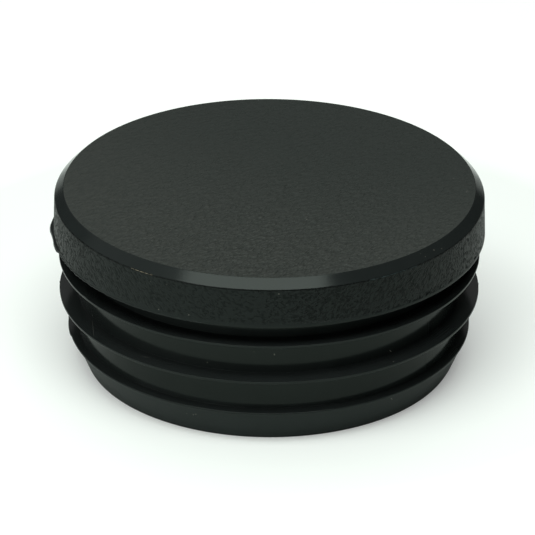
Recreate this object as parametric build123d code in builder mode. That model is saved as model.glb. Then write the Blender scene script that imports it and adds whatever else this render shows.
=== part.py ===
"""Round ribbed end cap that plugs a 50 mm tube.

One injection-moulded piece of polyethylene: a flat chamfered head that covers the tube's end,
and a hollow plug below it, with thin flexible fins that grip the tube's bore and a tapered lead-in.

Millimetres. +Z points out of the tube, the origin is the centre of the plug's open rim,
and -Y is the front. The piece stands on its rim with the head on top.
"""

import os
from math import cos, radians, tan

from build123d import *

# ---- head, the part that shows on the tube ---------------------------------
head_diameter = 50.0  # across the chamfer's outer edge, the same as the tube
head_height = 5.72  # from the seat on the tube's end to the flat top
head_draft = 2.0  # degrees, the side widens towards the seat
head_chamfer = 1.07  # 45 degree chamfer round the flat top
seat_edge_break = 0.12  # where the side meets the seat

# ---- plug, the part that goes into the tube --------------------------------
plug_diameter = 45.0  # between the fins
lead_in_diameter = 46.4  # where the tapered lead-in starts, under the lead lip
rim_diameter = 43.2
lead_in_length = 4.32  # from the lead lip's top, at its root, to the rim
rim_break = 0.20  # edges of the open rim, inside and outside

# ---- fins, which bend as the plug is pushed in -----------------------------
fin_count = 2
fin_pitch = 4.55
first_fin_gap = 2.46  # from the seat to the first fin's top, at its root
fin_diameter = 49.2
fin_root_thickness = 0.75
fin_tip_thickness = 0.36
fin_droop = 0.10  # how far the top of a fin or the lead lip falls from root to tip
fin_tip_break = 0.10

# ---- lead lip, the smaller fin on top of the lead-in, which enters first ---
lip_diameter = 47.2
lip_tip_thickness = 0.22
lip_undercut = 0.15  # height over which the lip comes in to the lead-in

# ---- hollow inside the plug ------------------------------------------------
rim_wall = 1.60  # wall thickness at the rim
top_thickness = 2.30  # between the hollow's ceiling and the flat top
hollow_draft = 1.0  # degrees, the hollow widens towards the rim
ceiling_chamfer = 1.20  # 45 degree corner between the hollow's wall and its ceiling

# ---- what the mould leaves on the ceiling ----------------------------------
gate_dimple_diameter = 5.0
gate_dimple_depth = 0.35
gate_stub_diameter = 1.4
gate_stub_height = 0.60  # from the dimple's floor, so it stands a little proud of the ceiling
ejector_count = 4
ejector_diameter = 4.0
ejector_circle_diameter = 28.0
ejector_depth = 0.12

# ---- flash squeezed out along the seat's edge ------------------------------
flash_reach = 0.45  # how far it stands out of the head's side
flash_span = 30.0  # degrees of the head's edge that it covers
flash_thickness = 0.35
flash_angle = 180.0  # degrees from +X to the middle of the flash

# ---- places and radii that follow from the sizes ---------------------------
seat_z = lead_in_length + fin_count * fin_pitch + first_fin_gap
top_z = seat_z + head_height
ceiling_z = top_z - top_thickness

head_radius = head_diameter / 2
seat_radius = head_radius + (head_height - head_chamfer) * tan(radians(head_draft))
plug_radius = plug_diameter / 2
rim_radius = rim_diameter / 2
hollow_radius = rim_radius - rim_wall
ceiling_radius = hollow_radius - ceiling_z * tan(radians(hollow_draft))

# The flash is a crescent: a smaller circle set off the axis, which crosses the seat's edge at both ends.
flash_tip_radius = seat_radius + flash_reach
flash_chord_x = seat_radius * cos(radians(flash_span / 2))
flash_offset = (flash_tip_radius**2 - seat_radius**2) / (2 * (flash_tip_radius - flash_chord_x))
flash_radius = flash_tip_radius - flash_offset


def fin_corners(root_top):
    """Corners of a fin that thins towards its tip, from the top of its root to the bottom of its root."""
    tip_top = root_top - fin_droop
    return [
        (plug_radius, root_top),
        (fin_diameter / 2, tip_top),
        (fin_diameter / 2, tip_top - fin_tip_thickness),
        (plug_radius, root_top - fin_root_thickness),
    ]


def corner_at(*corners):
    """A vertex selector for the corners of a profile that lie at the given points."""
    points = [Vector(*corner) for corner in corners]
    return lambda vertex: any((Vector(vertex.X, vertex.Y) - point).length < 1e-4 for point in points)


seat_edge = (seat_radius, seat_z)
fins = [fin_corners(seat_z - first_fin_gap - index * fin_pitch) for index in range(fin_count)]
fin_tips = [corner for fin in fins for corner in fin[1:3]]
lip_tip_z = lead_in_length - fin_droop - lip_tip_thickness
rim_edge = (rim_radius, 0)
mouth_edge = (hollow_radius, 0)
ceiling_edge = (ceiling_radius, ceiling_z)

with BuildPart() as end_cap:
    # Head, plug, fins and hollow are one section turned about the axis.
    with BuildSketch(Plane.XZ) as section:
        with BuildLine():
            Polyline(
                (0, ceiling_z),
                (0, top_z),
                (head_radius - head_chamfer, top_z),
                (head_radius, top_z - head_chamfer),
                seat_edge,
                (plug_radius, seat_z),
                *[corner for fin in fins for corner in fin],
                (plug_radius, lead_in_length),
                (lip_diameter / 2, lead_in_length - fin_droop),
                (lip_diameter / 2, lip_tip_z),
                (lead_in_diameter / 2, lip_tip_z - lip_undercut),
                rim_edge,
                mouth_edge,
                ceiling_edge,
                close=True,
            )
        make_face()
        chamfer(section.vertices().filter_by(corner_at(seat_edge)), seat_edge_break)
        chamfer(section.vertices().filter_by(corner_at(*fin_tips)), fin_tip_break)
        chamfer(section.vertices().filter_by(corner_at(rim_edge, mouth_edge)), rim_break)
        chamfer(section.vertices().filter_by(corner_at(ceiling_edge)), ceiling_chamfer)
    revolve(axis=Axis.Z)

    # The flash lies level with the seat and thins out to nothing at its ends.
    with BuildSketch(Plane.XY.offset(seat_z)):
        with PolarLocations(flash_offset, 1, start_angle=flash_angle):
            Circle(flash_radius)
        Circle(plug_radius, mode=Mode.SUBTRACT)
    extrude(amount=flash_thickness)

    # The gate was cut off below the ceiling, in a dimple that keeps its stub clear.
    with BuildSketch(Plane.XY.offset(ceiling_z)):
        Circle(gate_dimple_diameter / 2)
    extrude(amount=gate_dimple_depth, mode=Mode.SUBTRACT)
    with BuildSketch(Plane.XY.offset(ceiling_z + gate_dimple_depth)):
        Circle(gate_stub_diameter / 2)
    extrude(amount=-gate_stub_height)

    # Ejector pins leave shallow round marks in a ring on the ceiling.
    with BuildSketch(Plane.XY.offset(ceiling_z)):
        with PolarLocations(ejector_circle_diameter / 2, ejector_count, start_angle=45):
            Circle(ejector_diameter / 2)
    extrude(amount=ejector_depth, mode=Mode.SUBTRACT)
end_cap.part.label = "end_cap"

os.makedirs("parts", exist_ok=True)
export_step(end_cap.part, "parts/end_cap.step")
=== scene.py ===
"""Looks of the tube end cap: one moulded piece of black polyethylene on a pale studio floor.

The section is the CAD's own, with real roundings in place of its plain edge breaks. It is turned
ring by ring from a disc, and then gets what the mould leaves: flash, seams and ejector marks.

Lengths are named in millimetres and turned into metres where Blender takes them. +Z is up, the
cap stands on its rim at the origin, and its front faces -Y. Angles run round the cap from the
front, and are positive towards +X.
"""

import random
from math import atan2, cos, degrees, hypot, pi, radians, sin, tan

import bmesh
import bpy
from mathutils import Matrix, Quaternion, Vector


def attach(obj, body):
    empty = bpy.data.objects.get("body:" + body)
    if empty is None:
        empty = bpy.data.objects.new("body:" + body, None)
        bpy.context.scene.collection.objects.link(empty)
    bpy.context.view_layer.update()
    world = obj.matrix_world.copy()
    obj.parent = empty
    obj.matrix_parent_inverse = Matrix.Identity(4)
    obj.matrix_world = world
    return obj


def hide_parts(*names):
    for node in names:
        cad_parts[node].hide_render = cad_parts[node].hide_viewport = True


MM = 0.001

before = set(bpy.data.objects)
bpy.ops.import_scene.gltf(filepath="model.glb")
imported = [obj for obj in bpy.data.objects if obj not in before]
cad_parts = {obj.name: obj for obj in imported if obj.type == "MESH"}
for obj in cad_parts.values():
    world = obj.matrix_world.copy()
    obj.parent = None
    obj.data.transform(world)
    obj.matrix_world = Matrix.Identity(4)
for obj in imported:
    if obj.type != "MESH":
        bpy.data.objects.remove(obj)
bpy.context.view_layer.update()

# ---- sizes of the section, in millimetres, as in the CAD --------------------
head_radius = 25.0
head_height = 5.72
head_draft = 2.0  # degrees
head_chamfer = 1.07
plug_radius = 22.5
lead_in_radius = 23.2
rim_radius = 21.6
lead_in_length = 4.32
fin_pitch = 4.55
first_fin_gap = 2.46
fin_radius = 24.6
fin_root_thickness = 0.75
fin_tip_thickness = 0.36
fin_droop = 0.10
lip_radius = 23.6
lip_tip_thickness = 0.22
lip_undercut = 0.15
hollow_radius = 20.0
hollow_draft = 1.0  # degrees
top_thickness = 2.30
gate_dimple_radius = 2.5
gate_dimple_depth = 0.35
gate_stub_radius = 0.7
gate_stub_height = 0.60
ejector_radius = 2.0
ejector_ring_radius = 14.0
ejector_depth = 0.12
ejector_angles = (45, 135, 225, 315)

# ---- roundings, in millimetres ----------------------------------------------
top_rounding = 0.14
side_rounding = 0.26
seat_rounding = 0.10
root_rounding = 0.03
fin_upper_rounding = 0.04
fin_lower_rounding = 0.22
lip_rounding = 0.09
rim_rounding = 0.20
ceiling_rounding = 1.60
gate_rounding = 0.12

# ---- rings that the flash is drawn out of, in millimetres above the seat ------
burr_top = 0.14
burr_root = 0.20
flash_top = 0.34
flash_root = 0.42
flash_clear = 0.62  # keeps the flash's shading off the rest of the side

# ---- fineness of the mesh -----------------------------------------------------
segments = 480  # round the cap
pin_segments = 64
arc_step = 16.0  # degrees of a rounding between two rings
sharp_edge = 35.0  # degrees between faces, past which the shading breaks

seat_z = lead_in_length + 2 * fin_pitch + first_fin_gap
top_z = seat_z + head_height
chamfer_z = top_z - head_chamfer
ceiling_z = top_z - top_thickness
ceiling_radius = hollow_radius - ceiling_z * tan(radians(hollow_draft))
first_fin_z = seat_z - first_fin_gap
second_fin_z = first_fin_z - fin_pitch
lip_top_z = lead_in_length - fin_droop
lip_bottom_z = lip_top_z - lip_tip_thickness
lead_in_top_z = lip_bottom_z - lip_undercut


def side_radius(z):
    """Radius of the head's drafted side at a height."""
    return head_radius + (chamfer_z - z) * tan(radians(head_draft))


def chamfer_radius(z):
    """Radius of the head's chamfer at a height."""
    return head_radius - (z - chamfer_z)


def taper_radius(z):
    """Radius of the tapered lead-in at a height."""
    return rim_radius + (lead_in_radius - rim_radius) * z / lead_in_top_z


def fin(root_top):
    """Corners of a fin that thins towards its tip: radius, height and rounding."""
    tip_top = root_top - fin_droop
    return [
        (plug_radius, root_top, root_rounding),
        (fin_radius, tip_top, fin_upper_rounding),
        (fin_radius, tip_top - fin_tip_thickness, fin_lower_rounding),
        (plug_radius, root_top - fin_root_thickness, root_rounding),
    ]


side_rings = [seat_z + up for up in (flash_clear, flash_root, flash_top, burr_root, burr_top)]
dimple_z = ceiling_z + gate_dimple_depth
section = [
    (0, top_z, 0),
    (head_radius - head_chamfer, top_z, top_rounding),
    (head_radius, chamfer_z, side_rounding),
    *((side_radius(z), z, 0) for z in side_rings),
    (side_radius(seat_z), seat_z, seat_rounding),
    (plug_radius, seat_z, root_rounding),
    *fin(first_fin_z),
    *fin(second_fin_z),
    (plug_radius, lead_in_length, root_rounding),
    (lip_radius, lip_top_z, lip_rounding),
    (lip_radius, lip_bottom_z, lip_rounding),
    (lead_in_radius, lead_in_top_z, lip_rounding),
    (rim_radius, 0, rim_rounding),
    (hollow_radius, 0, rim_rounding),
    (ceiling_radius, ceiling_z, ceiling_rounding),
    (gate_dimple_radius, ceiling_z, gate_rounding),
    (gate_dimple_radius, dimple_z, gate_rounding),
    (gate_stub_radius, dimple_z, gate_rounding),
    (gate_stub_radius, dimple_z - gate_stub_height, gate_rounding),
    (0, dimple_z - gate_stub_height, 0),
]


def rounded(corners):
    """The section's points, with an arc of points in place of each corner that has a rounding."""
    points = []
    for before, corner, after in zip(corners, corners[1:], corners[2:]):
        place, rounding = Vector(corner[:2]), corner[2]
        if not rounding:
            points.append(place)
            continue
        back = (Vector(before[:2]) - place).normalized()
        on = (Vector(after[:2]) - place).normalized()
        half = back.angle(on) / 2
        centre = place + (back + on).normalized() * rounding / sin(half)
        start = place + back * rounding / tan(half) - centre
        end = place + on * rounding / tan(half) - centre
        turn = start.angle(end)
        steps = max(2, round(degrees(turn) / arc_step))
        for step in range(steps + 1):
            share = step / steps
            points.append(
                centre + (start * sin((1 - share) * turn) + end * sin(share * turn)) / sin(turn)
            )
    return points


# ---- turning the piece ------------------------------------------------------
def deselect_objects():
    for other in bpy.context.selected_objects:
        other.select_set(False)


def make_active(piece):
    deselect_objects()
    piece.select_set(True)
    bpy.context.view_layer.objects.active = piece


def turned_piece(name, corners):
    """A disc on the axis, from whose edge a ring is extruded to each further point of the section."""
    points = rounded(corners)
    deselect_objects()
    radius, height = points[0]
    bpy.ops.mesh.primitive_circle_add(
        vertices=segments, radius=radius * MM, fill_type="NGON", location=(0, 0, height * MM)
    )
    piece = bpy.context.object
    piece.name = name
    piece.data.name = name
    bpy.ops.object.transform_apply(location=True, rotation=True, scale=True)
    bpy.ops.object.mode_set(mode="EDIT")
    bpy.ops.mesh.select_mode(type="EDGE")
    bpy.ops.mesh.select_all(action="SELECT")
    for next_radius, next_height in points[1:]:
        bpy.ops.mesh.extrude_edges_move(
            TRANSFORM_OT_translate={"value": (0, 0, (next_height - height) * MM)}
        )
        share = next_radius / radius
        bpy.ops.transform.resize(value=(share, share, 1), center_override=(0, 0, 0))
        radius, height = next_radius, next_height
    bpy.ops.mesh.edge_face_add()
    bpy.ops.mesh.select_all(action="SELECT")
    bpy.ops.mesh.normals_make_consistent(inside=False)
    bpy.ops.object.mode_set(mode="OBJECT")
    return piece


cap = turned_piece("cap_body", section)

# ---- what the mould leaves --------------------------------------------------
ring_slack = 0.01  # how far from a height a ring still counts as lying at it
skin = 0.3  # how far inside a radius a ring still counts as lying on that surface


def between(pairs, angle):
    """The value at an angle, on straight lines between (angle, value) pairs, and 0 beyond them."""
    for (start, first), (end, last) in zip(pairs, pairs[1:]):
        if start <= angle <= end:
            return first + (last - first) * (angle - start) / (end - start)
    return 0.0


def push(piece, low, high, surface_radius, out_by=(), up_by=()):
    """Move the rings between two heights, from a surface outwards, by so much at each angle.

    out_by and up_by are (angle, millimetres) pairs, in order of their angles."""
    columns = {}
    for vertex in piece.data.vertices:
        x, y, z = vertex.co / MM
        at_height = low - ring_slack <= z <= high + ring_slack
        if at_height and hypot(x, y) >= surface_radius - skin:
            angle = degrees(atan2(x, -y))
            move = between(out_by, angle), between(up_by, angle)
            if any(move):
                columns.setdefault(round(angle, 2), (move, []))[1].append(vertex.index)
    make_active(piece)
    bpy.ops.object.mode_set(mode="EDIT")
    bpy.ops.mesh.select_mode(type="VERT")
    for angle, ((out, up), members) in columns.items():
        bpy.ops.mesh.select_all(action="DESELECT")
        mesh = bmesh.from_edit_mesh(piece.data)
        mesh.verts.ensure_lookup_table()
        for index in members:
            mesh.verts[index].select_set(True)
        around = radians(angle)
        bpy.ops.transform.translate(
            value=(sin(around) * out * MM, -cos(around) * out * MM, up * MM)
        )
    bpy.ops.object.mode_set(mode="OBJECT")


def scaled(pairs, share):
    return [(angle, value * share) for angle, value in pairs]


# Flash at the parting line on the left: a thick tongue, with two swells, that ends in a step.
flash_top_share = 0.8  # of the reach at its foot
burr_root_share = 0.9
flash_reach = [
    (-101, 0),
    (-99, 0.05),
    (-97, 0.14),
    (-95, 0.24),
    (-93, 0.34),
    (-91, 0.43),
    (-89, 0.46),
    (-87, 0.41),
    (-85, 0.28),
    (-83, 0.20),
    (-81, 0.20),
    (-79, 0.27),
    (-76.5, 0.28),
    (-75, 0.24),
    (-74, 0),
]
flash_top_z = seat_z + flash_top
burr_root_z = seat_z + burr_root
burr_top_z = seat_z + burr_top
push(cap, flash_top_z, flash_top_z, head_radius, scaled(flash_reach, flash_top_share))
push(cap, burr_root_z, burr_root_z, head_radius, scaled(flash_reach, burr_root_share))
push(cap, seat_z, burr_top_z, head_radius, flash_reach)

# Beyond it a thin ragged burr runs on along the seat's edge, and dies away.
burr_start, burr_end, burr_tail = -74.25, -15.0, 2.0  # degrees
burr_least = 0.01
burr_full, burr_faint = 0.18, 0.05  # the most that it reaches at its start and at its end
burr_reach = [(burr_start, 0)]
ragged = random.Random(7)
while burr_reach[-1][0] < burr_end:
    angle = burr_reach[-1][0] + 360 / segments
    left_over = (burr_end - angle) / (burr_end - burr_start)
    most = burr_faint + (burr_full - burr_faint) * max(left_over, 0)
    burr_reach.append((angle, ragged.uniform(burr_least, most)))
burr_reach.append((burr_end + burr_tail, 0))
push(cap, seat_z, burr_top_z, head_radius, burr_reach)

# The lead lip stands out a little beside the parting line, and ends there in a small step.
lip_reach = [(-93, 0), (-90, 0.04), (-86, 0.07), (-82, 0.10), (-79, 0.10), (-78, 0)]
push(cap, lip_bottom_z, lip_top_z, lip_radius, lip_reach)

# The lead-in is a little full on the right, where the mould's halves don't quite meet.
lead_in_reach = [
    (20, 0),
    (40, 0.05),
    (60, 0.09),
    (70, 0.12),
    (76, 0.20),
    (84, 0.21),
    (92, 0.12),
    (100, 0),
]
push(cap, 0, lip_bottom_z - lip_undercut / 2, rim_radius, lead_in_reach)

# A fine seam runs down the plug at the parting line, on both sides.
seam_height = 0.04
seam_spread = 0.5  # degrees to each side
seam_end_gap = 0.05
for seam in (-90, 90):
    ridge = [(seam - seam_spread, 0), (seam, seam_height), (seam + seam_spread, 0)]
    push(cap, seam_end_gap, seat_z - seam_end_gap, rim_radius, ridge)

# A knock has turned up a bit of the first fin's upper edge.
knock = [(-60, 0), (-59.2, 0.07), (-58.4, 0.05), (-57.6, 0)]
fin_edge_z = first_fin_z - fin_droop
push(cap, fin_edge_z - fin_upper_rounding, fin_edge_z, fin_radius, (), knock)

# Ejector pins leave shallow round marks on the ceiling of the hollow.
pin_length = 2.0
for angle in ejector_angles:
    deselect_objects()
    around = radians(angle)
    bpy.ops.mesh.primitive_cylinder_add(
        vertices=pin_segments,
        radius=ejector_radius * MM,
        depth=pin_length * MM,
        location=(
            sin(around) * ejector_ring_radius * MM,
            -cos(around) * ejector_ring_radius * MM,
            (ceiling_z + ejector_depth - pin_length / 2) * MM,
        ),
    )
    pin = bpy.context.object
    cut = cap.modifiers.new("ejector_mark", "BOOLEAN")
    cut.operation = "DIFFERENCE"
    cut.solver = "EXACT"
    cut.object = pin
    make_active(cap)
    bpy.ops.object.modifier_apply(modifier=cut.name)
    bpy.data.objects.remove(pin)

make_active(cap)
bpy.ops.object.shade_smooth_by_angle(angle=radians(sharp_edge))

# The weights compare the faces' areas, so they are taken with a millimetre for Blender's metre.
cap.scale = (1 / MM, 1 / MM, 1 / MM)
bpy.ops.object.transform_apply(location=False, rotation=False, scale=True)
weighted = cap.modifiers.new("face_weighted_normals", "WEIGHTED_NORMAL")
weighted.weight = 100
weighted.keep_sharp = True
bpy.ops.object.modifier_apply(modifier=weighted.name)
cap.scale = (MM, MM, MM)
bpy.ops.object.transform_apply(location=False, rotation=False, scale=True)


# ---- helpers for materials --------------------------------------------------
def linear(hex_colour):
    """An sRGB hex colour as a linear RGBA value."""
    channels = [int(hex_colour[start : start + 2], 16) / 255 for start in (1, 3, 5)]
    return [c / 12.92 if c <= 0.04045 else ((c + 0.055) / 1.055) ** 2.4 for c in channels] + [1.0]


def add_node(tree, kind, values=None, **settings):
    """Add a node, with its settings, and for each input in values either a link or a number."""
    node = tree.nodes.new(kind)
    for name, setting in settings.items():
        setattr(node, name, setting)
    for name, value in (values or {}).items():
        if isinstance(value, bpy.types.NodeSocket):
            tree.links.new(value, node.inputs[name])
        else:
            node.inputs[name].default_value = value
    return node


def new_material(name):
    material = bpy.data.materials.new(name)
    material.use_nodes = True
    material.node_tree.nodes.clear()
    return material


def fading(tree, place, centre, near, far, interpolation="SMOOTHSTEP"):
    """A value that changes with the distance from a centre.

    near and far are (distance, value) pairs. The distances and the centre are in millimetres."""
    away = add_node(
        tree,
        "ShaderNodeVectorMath",
        {0: place, 1: [length * MM for length in centre]},
        operation="DISTANCE",
    )
    value = add_node(
        tree,
        "ShaderNodeMapRange",
        {
            "Value": away.outputs["Value"],
            "From Min": near[0] * MM,
            "From Max": far[0] * MM,
            "To Min": near[1],
            "To Max": far[1],
        },
        interpolation_type=interpolation,
    )
    return value.outputs["Result"]


# ---- grain and tool marks, in millimetres ------------------------------------
# The real grain is a few hundredths deep. It is drawn as deep as it has to be to show.
wrinkle_slant = 52.0  # degrees from +X
wrinkle_length = 0.78
wrinkle_width = 0.31
top_grain_centre = (0, -24, top_z)
top_grain_near = (0, 0.42)  # distance from that centre, and the grain's depth there
top_grain_far = (32, 0.14)

crease_length = 0.40
crease_spacing = 0.26
crease_edges = (0.36, 0.54)  # the noise's values where a crease is deepest and where it ends
crease_lean_reach = 30.0  # a crease at X rises by 2 X in this length
worn_bottom, worn_top = 0.35, 0.80  # above the seat: no grain below the first, all above the next
side_grain_centre = (-10.6, -22.7, seat_z)
side_grain_near = (10, 0.06)
side_grain_far = (29, 1.00)

draw_spacing = 0.30
draw_length = 9.0
ring_spacing = 0.16
cloud_size = 4.0

# Painted shade: a dark ragged line along the side's top edge, under the chamfer.
edge_line_z = chamfer_z - 0.03
edge_line_core = 0.03
edge_line_reach = 0.10
edge_raggedness = 0.24
edge_wobble_length = 0.22

# Painted light: the head's grain is painted paler away from one spot at the back right, which stays
# darker as painted shade: distance from it, and share.
painted_shade_spot = (16, 30, top_z)
painted_light_near = (22, 0)
painted_light_far = (54, 1)


def top_wrinkles(tree, place):
    """Height of the top's grain: fine wrinkles that run slantwise over it."""
    slanted = add_node(
        tree,
        "ShaderNodeMapping",
        {
            "Vector": place,
            "Rotation": (0, 0, radians(wrinkle_slant)),
            "Scale": (wrinkle_length * MM, wrinkle_width * MM, wrinkle_width * MM),
        },
        vector_type="TEXTURE",
    )
    folds = add_node(
        tree,
        "ShaderNodeTexNoise",
        {"Vector": slanted.outputs[0], "Scale": 1.0, "Detail": 1.0, "Distortion": 0.2},
    )
    return folds.outputs["Fac"]


def side_creases(tree, place):
    """Height of the side's grain: flat, but for short shallow creases.

    They lie level at the front, and lean the more the further round they are."""
    spot = add_node(tree, "ShaderNodeSeparateXYZ", {0: place})
    lean = add_node(
        tree,
        "ShaderNodeMath",
        {0: spot.outputs["X"], 1: spot.outputs["X"]},
        operation="MULTIPLY",
    )
    leaning_height = add_node(
        tree,
        "ShaderNodeMath",
        {0: lean.outputs[0], 1: -1 / (crease_lean_reach * MM), 2: spot.outputs["Z"]},
        operation="MULTIPLY_ADD",
    )
    leaning = add_node(
        tree,
        "ShaderNodeCombineXYZ",
        {"X": spot.outputs["X"], "Y": spot.outputs["Y"], "Z": leaning_height.outputs[0]},
    )
    level = add_node(
        tree,
        "ShaderNodeMapping",
        {
            "Vector": leaning.outputs[0],
            "Scale": (crease_length * MM, crease_length * MM, crease_spacing * MM),
        },
        vector_type="TEXTURE",
    )
    folds = add_node(
        tree,
        "ShaderNodeTexNoise",
        {"Vector": level.outputs[0], "Scale": 1.0, "Detail": 1.0, "Distortion": 0.5},
    )
    deepest, end = crease_edges
    flats = add_node(
        tree,
        "ShaderNodeMapRange",
        {"Value": folds.outputs["Fac"], "From Min": deepest, "From Max": end},
        interpolation_type="SMOOTHSTEP",
    )
    worn_away = add_node(
        tree,
        "ShaderNodeMapRange",
        {
            "Value": spot.outputs["Z"],
            "From Min": (seat_z + worn_bottom) * MM,
            "From Max": (seat_z + worn_top) * MM,
            "To Min": 1.0,
            "To Max": 0.0,
        },
        interpolation_type="SMOOTHSTEP",
    )
    height = add_node(
        tree,
        "ShaderNodeMath",
        {0: flats.outputs["Result"], 1: worn_away.outputs["Result"]},
        operation="MAXIMUM",
    )
    return height.outputs[0]


def tool_marks(tree, place):
    """Height of what the turned mould leaves: fine rings on flat faces, upright draws on walls."""
    upright = add_node(
        tree,
        "ShaderNodeMapping",
        {"Vector": place, "Scale": (draw_spacing * MM, draw_spacing * MM, draw_length * MM)},
        vector_type="TEXTURE",
    )
    draws = add_node(
        tree, "ShaderNodeTexNoise", {"Vector": upright.outputs[0], "Scale": 1.0, "Detail": 1.0}
    )
    flat_place = add_node(
        tree, "ShaderNodeVectorMath", {0: place, 1: (1, 1, 0)}, operation="MULTIPLY"
    )
    radius = add_node(tree, "ShaderNodeVectorMath", {0: flat_place.outputs[0]}, operation="LENGTH")
    rings = add_node(
        tree,
        "ShaderNodeTexNoise",
        {"W": radius.outputs["Value"], "Scale": 1 / (ring_spacing * MM), "Detail": 1.0},
        noise_dimensions="1D",
    )
    facing = add_node(
        tree,
        "ShaderNodeSeparateXYZ",
        {0: add_node(tree, "ShaderNodeTexCoord").outputs["Normal"]},
    )
    flatness = add_node(tree, "ShaderNodeMath", {0: facing.outputs["Z"]}, operation="ABSOLUTE")
    height = add_node(
        tree,
        "ShaderNodeMix",
        {"Factor": flatness.outputs[0], "A": draws.outputs["Fac"], "B": rings.outputs["Fac"]},
    )
    return height.outputs["Result"]


# ---- marks of handling ------------------------------------------------------
DUST = "#74746c"
FAINT_DUST = "#41433f"
RUBBED = "#3c4a4a"
PALE_GOLD_LINE = "#7a7563"
# The scar colour below is also the colour of the painted shade along the side's top edge.
SCAR_AND_EDGE_SHADE = "#070808"
mark_depth = 0.25  # how far into the surface a mark reaches
mark_core = 0.6  # the share of a mark's size that it covers fully


def wall_marks(radius_at, *marks):
    """Marks on a wall: angle, height, length, width, slant from level, and colour."""
    return [(angle, radius_at(height), height, *rest, False) for angle, height, *rest in marks]


def flat_marks(height, *marks):
    """Marks that lie on a face: angle, radius, length, width, slant from +X, and colour."""
    return [(angle, radius, height, *rest, True) for angle, radius, *rest in marks]


top_marks = flat_marks(
    top_z,
    (24.8, 10.15, 0.20, 0.16, 0, DUST),
    (-0.2, 10.1, 0.22, 0.12, 40, FAINT_DUST),
    (1.1, 6.7, 0.16, 0.14, 0, FAINT_DUST),
    (94.6, 21.5, 0.26, 0.20, 10, FAINT_DUST),
    (85.6, 22.9, 0.90, 0.11, 75, FAINT_DUST),
)
side_marks = wall_marks(
    side_radius,
    (2.5, 20.12, 0.16, 0.13, 0, DUST),
    (-29.4, 16.51, 0.15, 0.12, 0, DUST),
    (-20.8, 16.67, 0.15, 0.12, 0, DUST),
    (-31.9, 19.69, 0.20, 0.10, 25, FAINT_DUST),
    (-27.1, 19.84, 0.34, 0.07, 35, FAINT_DUST),
    (-49.9, 17.20, 0.10, 1.10, 25, SCAR_AND_EDGE_SHADE),
    *((angle, 20.52, 1.6, 0.06, 0, RUBBED) for angle in (28, 31, 34, 37, 40)),
    # A thin pale gold line painted along the side's top edge, in five pieces.
    (-37.6, 20.53, 0.60, 0.04, 0, PALE_GOLD_LINE),
    (-36.2, 20.53, 0.80, 0.07, 0, PALE_GOLD_LINE),
    (-34.7, 20.53, 0.70, 0.09, 0, PALE_GOLD_LINE),
    (-33.3, 20.52, 0.70, 0.06, 0, PALE_GOLD_LINE),
    (-31.9, 20.52, 0.60, 0.04, 0, PALE_GOLD_LINE),
)
smooth_marks = (
    wall_marks(
        lambda height: plug_radius,
        (1.6, 11.19, 0.13, 0.26, 15, DUST),
        (-4.2, 11.50, 0.10, 0.16, 0, FAINT_DUST),
        (-17.9, 9.56, 0.14, 0.14, 0, DUST),
        (37.9, 9.18, 0.50, 0.13, -50, DUST),
        (-64.8, 9.30, 0.30, 0.25, 0, FAINT_DUST),
    )
    + flat_marks(
        second_fin_z - fin_droop / 2,
        (35.8, 24.13, 0.15, 0.12, 0, DUST),
        (-59.7, 23.4, 4.50, 0.09, 95, FAINT_DUST),
        (-36.5, 23.4, 1.30, 0.07, -20, FAINT_DUST),
    )
    + wall_marks(
        chamfer_radius,
        (44.6, 21.32, 0.07, 0.07, 0, DUST),
        (49.4, 21.09, 0.09, 0.09, 0, DUST),
        (52.1, 20.90, 0.07, 0.07, 0, DUST),
        (45.5, 20.93, 0.07, 0.07, 0, DUST),
    )
)
lead_in_marks = wall_marks(
    taper_radius,
    (37.6, 3.25, 0.68, 0.12, -47, DUST),
    (-21.3, 2.78, 0.34, 0.09, 15, DUST),
    (-22.1, 2.62, 0.08, 0.30, 0, DUST),
    (-24.2, 2.55, 0.10, 0.10, 0, DUST),
)


def marked(tree, place, colour, marks):
    """The colour with marks painted over it, each a small ellipse on the surface."""
    for angle, radius, height, length, width, slant, paint, lies_flat in marks:
        around = radians(angle)
        if lies_flat:
            turn = (0, 0, radians(slant))
            size = (length / 2 * MM, width / 2 * MM, mark_depth * MM)
        else:
            turn = (0, -radians(slant), around)
            size = (length / 2 * MM, mark_depth * MM, width / 2 * MM)
        centre = (sin(around) * radius * MM, -cos(around) * radius * MM, height * MM)
        local = add_node(
            tree,
            "ShaderNodeMapping",
            {"Vector": place, "Location": centre, "Rotation": turn, "Scale": size},
            vector_type="TEXTURE",
        )
        reach = add_node(tree, "ShaderNodeVectorMath", {0: local.outputs[0]}, operation="LENGTH")
        covered = add_node(
            tree,
            "ShaderNodeMapRange",
            {
                "Value": reach.outputs["Value"],
                "From Min": mark_core,
                "From Max": 1.0,
                "To Min": 1.0,
                "To Max": 0.0,
            },
        )
        colour = add_node(
            tree,
            "ShaderNodeMix",
            {"Factor": covered.outputs["Result"], "A": colour, "B": linear(paint)},
            data_type="RGBA",
        ).outputs["Result"]
    return colour


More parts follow.
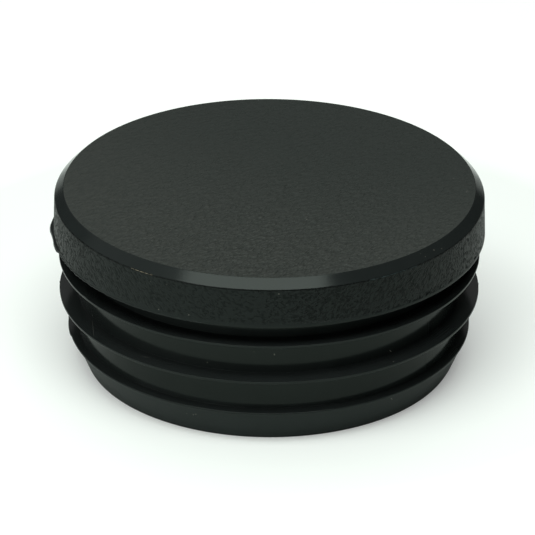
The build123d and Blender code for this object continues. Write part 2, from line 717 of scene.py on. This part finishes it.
def edge_shaded(tree, place, colour):
    """The colour, with painted shade: a dark ragged line along the side's top edge, just under the
    chamfer.
    """
    above = add_node(tree, "ShaderNodeSeparateXYZ", {0: place})
    wobble_noise = add_node(
        tree,
        "ShaderNodeTexNoise",
        {"Vector": place, "Scale": 1 / (edge_wobble_length * MM), "Detail": 1.0},
    )
    wander = add_node(
        tree,
        "ShaderNodeMath",
        {0: wobble_noise.outputs["Fac"], 1: edge_raggedness * MM, 2: above.outputs["Z"]},
        operation="MULTIPLY_ADD",
    )
    offset = add_node(
        tree,
        "ShaderNodeMath",
        {0: wander.outputs[0], 1: (edge_line_z + edge_raggedness / 2) * MM},
        operation="SUBTRACT",
    )
    distance = add_node(tree, "ShaderNodeMath", {0: offset.outputs[0]}, operation="ABSOLUTE")
    shade = add_node(
        tree,
        "ShaderNodeMapRange",
        {
            "Value": distance.outputs[0],
            "From Min": edge_line_core * MM,
            "From Max": edge_line_reach * MM,
            "To Min": 1.0,
            "To Max": 0.0,
        },
    )
    return add_node(
        tree,
        "ShaderNodeMix",
        {"Factor": shade.outputs["Result"], "A": colour, "B": linear(SCAR_AND_EDGE_SHADE)},
        data_type="RGBA",
    ).outputs["Result"]


# ---- materials of the cap ---------------------------------------------------
POLYETHYLENE_IOR = 1.51
GLOSS_TINT = (0.86, 1.0, 0.90, 1.0)
crease_roughness = 0.60
flat_roughness = 0.42


def finish_polyethylene(tree, colour, roughness, gloss, height, depth):
    """Close a material with polyethylene's soft gloss, over the colour and the bumps."""
    bump = add_node(tree, "ShaderNodeBump", {"Height": height, "Strength": 1.0, "Distance": depth})
    shader = add_node(
        tree,
        "ShaderNodeBsdfPrincipled",
        {
            "Base Color": colour,
            "Roughness": roughness,
            "IOR": POLYETHYLENE_IOR,
            "Specular IOR Level": gloss,
            "Specular Tint": GLOSS_TINT,
            "Normal": bump.outputs["Normal"],
        },
    )
    add_node(tree, "ShaderNodeOutputMaterial", {"Surface": shader.outputs[0]})


def grained_polyethylene(name, grain, crease, flat, painted_lit_flat, gloss, depths, marks):
    """Polyethylene from an etched mould: matt creases in a flat that is a little glossier.

    depths are a centre, and a (distance, depth) pair near it and far from it."""
    material = new_material(name)
    tree = material.node_tree
    place = add_node(tree, "ShaderNodeTexCoord").outputs["Object"]
    height = grain(tree, place)
    centre, near, far = depths
    near, far = ((distance, depth * MM) for distance, depth in (near, far))
    depth = fading(tree, place, centre, near, far, "LINEAR")
    # Painted light and shade: the flats are painted paler away from the spot at the back right, and
    # darker near it.
    flats = add_node(
        tree,
        "ShaderNodeMix",
        {
            "Factor": fading(tree, place, painted_shade_spot, painted_light_near, painted_light_far),
            "A": linear(flat),
            "B": linear(painted_lit_flat),
        },
        data_type="RGBA",
    )
    # Painted shade: the creases get a colour of their own, darker than the side's flats and than the
    # head's painted light, as the shade that falls in them.
    colour = add_node(
        tree,
        "ShaderNodeMix",
        {"Factor": height, "A": linear(crease), "B": flats.outputs["Result"]},
        data_type="RGBA",
    ).outputs["Result"]
    colour = marked(tree, place, edge_shaded(tree, place, colour), marks)
    roughness = add_node(
        tree,
        "ShaderNodeMapRange",
        {"Value": height, "To Min": crease_roughness, "To Max": flat_roughness},
    ).outputs["Result"]
    finish_polyethylene(tree, colour, roughness, gloss, height, depth)
    return material


def smooth_polyethylene(name, darker, paler, roughness_range, gloss, depth, marks):
    """Polyethylene from a turned mould: even and a little cloudy, with faint tool marks."""
    material = new_material(name)
    tree = material.node_tree
    place = add_node(tree, "ShaderNodeTexCoord").outputs["Object"]
    clouds = add_node(
        tree, "ShaderNodeTexNoise", {"Vector": place, "Scale": 1 / (cloud_size * MM), "Detail": 2.0}
    )
    colour = add_node(
        tree,
        "ShaderNodeMix",
        {"Factor": clouds.outputs["Fac"], "A": linear(darker), "B": linear(paler)},
        data_type="RGBA",
    ).outputs["Result"]
    colour = marked(tree, place, edge_shaded(tree, place, colour), marks)
    least, most = roughness_range
    roughness = add_node(
        tree,
        "ShaderNodeMapRange",
        {"Value": clouds.outputs["Fac"], "To Min": least, "To Max": most},
    ).outputs["Result"]
    finish_polyethylene(tree, colour, roughness, gloss, tool_marks(tree, place), depth * MM)
    return material


def polished_plug():
    """Black polyethylene, moulded against polished steel: near black, with a clear soft gloss."""
    return smooth_polyethylene(
        "moulded_smooth_polyethylene",
        darker="#1a1e1d",
        paler="#202423",
        roughness_range=(0.12, 0.18),
        gloss=0.122,
        depth=0.006,
        marks=smooth_marks,
    )


def grained_top():
    """Black polyethylene, moulded against etched steel: dark grey, dulled by fine wrinkles."""
    return grained_polyethylene(
        "moulded_fine_grained_top",
        grain=top_wrinkles,
        crease="#252a27",
        flat="#212623",
        painted_lit_flat="#353834",
        gloss=0.27,
        depths=(top_grain_centre, top_grain_near, top_grain_far),
        marks=top_marks,
    )


def grained_side():
    """Black polyethylene, moulded against etched steel: near black, with short creases darkened by
    painted shade.
    """
    return grained_polyethylene(
        "moulded_grained_side",
        grain=side_creases,
        crease="#121615",
        flat="#1b1f1e",
        painted_lit_flat="#1c201f",
        gloss=0.105,
        depths=(side_grain_centre, side_grain_near, side_grain_far),
        marks=side_marks,
    )


def satin_lead_in():
    """Black polyethylene, moulded against blasted steel: an even satin, a little paler."""
    return smooth_polyethylene(
        "moulded_satin_lead_in",
        darker="#272c2b",
        paler="#2c3130",
        roughness_range=(0.36, 0.44),
        gloss=0.08,
        depth=0.014,
        marks=lead_in_marks,
    )


PLUG, TOP, SIDE, LEAD_IN = range(4)
for finish in (polished_plug, grained_top, grained_side, satin_lead_in):
    cap.data.materials.append(finish())

grain_bottom_z = seat_z + 0.12
grain_top_z = chamfer_z + 0.03
satin_bottom_z = 0.15
satin_top_z = lead_in_top_z + 0.05
level_normal = 0.99  # a normal's height, past which a face counts as level


def finish_of(face):
    """Which of the materials a face of the cap shows."""
    x, y, z = face.center / MM
    if face.normal.z > level_normal and z > top_z - ring_slack:
        return TOP
    if grain_bottom_z < z < grain_top_z and hypot(x, y) > head_radius - skin:
        return SIDE
    if satin_bottom_z < z < satin_top_z and hypot(x, y) > rim_radius - skin:
        return LEAD_IN
    return PLUG


for face in cap.data.polygons:
    face.material_index = finish_of(face)

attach(cap, "root")
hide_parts("end_cap")

# ---- floor ------------------------------------------------------------------
floor_segments = 96
floor_radius = 3000.0
GLOW_TINT = (0.91, 1.0, 0.93, 1.0)
WHITE = (1.0, 1.0, 1.0, 1.0)
glow_strength = 0.38
shadow_share = 0.7  # of the glow, where the camera looks at the floor next to the cap

# In the cap's gloss the glow is a ring on the floor. Centres and (distance, share) pairs, in mm.
inner_centre = (0, 12, 0)
inner_near, inner_far = (32, 0), (54, 1)
outer_centre = (0, 32, 0)
outer_near, outer_far = (78, 1), (98, 0)


def white_floor_paint():
    """Matt studio paint, with a glow that makes it white to the camera and in the cap's gloss.

    The glow lights nothing, and is weaker next to the cap, so that the cap's shadow stays."""
    material = new_material("matte_white_studio_floor")
    tree = material.node_tree
    paint = add_node(tree, "ShaderNodeBsdfDiffuse", {"Color": linear("#d5ded7")})
    place = add_node(tree, "ShaderNodeTexCoord").outputs["Object"]
    ray = add_node(tree, "ShaderNodeLightPath")
    shadow_limit = add_node(
        tree,
        "ShaderNodeMath",
        {0: ray.outputs["Is Camera Ray"], 1: shadow_share},
        operation="MULTIPLY",
    )
    inner_seen = add_node(
        tree,
        "ShaderNodeMath",
        {0: fading(tree, place, inner_centre, inner_near, inner_far), 1: shadow_limit.outputs[0]},
        operation="MAXIMUM",
    )
    outer_seen = add_node(
        tree,
        "ShaderNodeMath",
        {
            0: fading(tree, place, outer_centre, outer_near, outer_far),
            1: ray.outputs["Is Camera Ray"],
        },
        operation="MAXIMUM",
    )
    ring = add_node(
        tree,
        "ShaderNodeMath",
        {0: outer_seen.outputs[0], 1: inner_seen.outputs[0]},
        operation="MULTIPLY",
    )
    strength = add_node(
        tree, "ShaderNodeMath", {0: ring.outputs[0], 1: glow_strength}, operation="MULTIPLY"
    )
    glow_colour = add_node(
        tree,
        "ShaderNodeMix",
        {"Factor": ray.outputs["Is Camera Ray"], "A": GLOW_TINT, "B": WHITE},
        data_type="RGBA",
    )
    glow = add_node(
        tree,
        "ShaderNodeEmission",
        {"Color": glow_colour.outputs["Result"], "Strength": strength.outputs[0]},
    )
    seen = ray.outputs["Is Camera Ray"]
    for other in ("Is Glossy Ray", "Is Transmission Ray"):
        seen = add_node(
            tree, "ShaderNodeMath", {0: seen, 1: ray.outputs[other]}, operation="MAXIMUM"
        ).outputs[0]
    both = add_node(tree, "ShaderNodeAddShader", {0: paint.outputs[0], 1: glow.outputs[0]})
    pick = add_node(
        tree, "ShaderNodeMixShader", {"Fac": seen, 1: paint.outputs[0], 2: both.outputs[0]}
    )
    add_node(tree, "ShaderNodeOutputMaterial", {"Surface": pick.outputs[0]})
    return material


deselect_objects()
bpy.ops.mesh.primitive_circle_add(
    vertices=floor_segments, radius=floor_radius * MM, fill_type="NGON", location=(0, 0, 0)
)
floor = bpy.context.object
floor.name = "studio_floor"
floor.data.materials.append(white_floor_paint())

# ---- light ------------------------------------------------------------------
surroundings_strength = 0.01  # nearly dark, so that the gloss shows only the lamps and the floor
scene = bpy.context.scene
scene.view_settings.view_transform = "Standard"
world = bpy.data.worlds.new("studio_surroundings")
scene.world = world
world.use_nodes = True
surroundings = world.node_tree.nodes["Background"]
surroundings.inputs["Color"].default_value = WHITE
surroundings.inputs["Strength"].default_value = surroundings_strength


def softbox(name, width, height, brightness):
    """A soft lamp that shines straight down.

    Its sizes are in metres, and a brightness of 1 would show as white."""
    lamp = bpy.data.lights.new(name, "AREA")
    lamp.shape = "RECTANGLE"
    lamp.size, lamp.size_y = width, height
    lamp.energy = brightness * pi * width * height
    holder = bpy.data.objects.new(name, lamp)
    scene.collection.objects.link(holder)
    return holder


def face_cap(holder, around, above, distance):
    """Stand a lamp at an angle round the cap and one above the floor, so many metres away."""
    around, above = radians(around), radians(above)
    place = Vector((sin(around) * cos(above), -cos(around) * cos(above), sin(above))) * distance
    holder.location = place
    holder.rotation_euler = (-place).to_track_quat("-Z", "Y").to_euler()


overhead = softbox("overhead_softbox", width=0.63, height=0.35, brightness=6.5)
overhead.location = (-0.063, -0.265, 0.6)
low_left = softbox("low_left_softbox", width=0.48, height=0.18, brightness=1.65)
face_cap(low_left, around=-50, above=13, distance=0.42)
left = softbox("left_softbox", width=0.80, height=0.40, brightness=0.45)
face_cap(left, around=-98, above=42, distance=0.85)
back = softbox("back_softbox", width=1.2, height=0.45, brightness=0.42)
face_cap(back, around=-168, above=34, distance=0.95)
top = softbox("top_softbox", width=0.6, height=0.6, brightness=2.0)
face_cap(top, around=180, above=78, distance=0.95)

# ---- camera -----------------------------------------------------------------
camera_place = Vector((0, -415.31, 221.008))
camera_aim = Vector((-0.1919, 0, 10.745))
camera_roll = 0.2385  # degrees
focal_length = 266.917
sensor_width = 36.0
nearest_seen = 10.0
camera_data = bpy.data.cameras.new("product_camera")
camera_data.lens = focal_length
camera_data.sensor_width = sensor_width
camera_data.clip_start = nearest_seen * MM
camera = bpy.data.objects.new("product_camera", camera_data)
scene.collection.objects.link(camera)
camera.location = camera_place * MM
camera.rotation_mode = "QUATERNION"
towards_cap = (camera_aim - camera_place).to_track_quat("-Z", "Y")
camera.rotation_quaternion = towards_cap @ Quaternion((0, 0, 1), radians(camera_roll))
scene.camera = camera
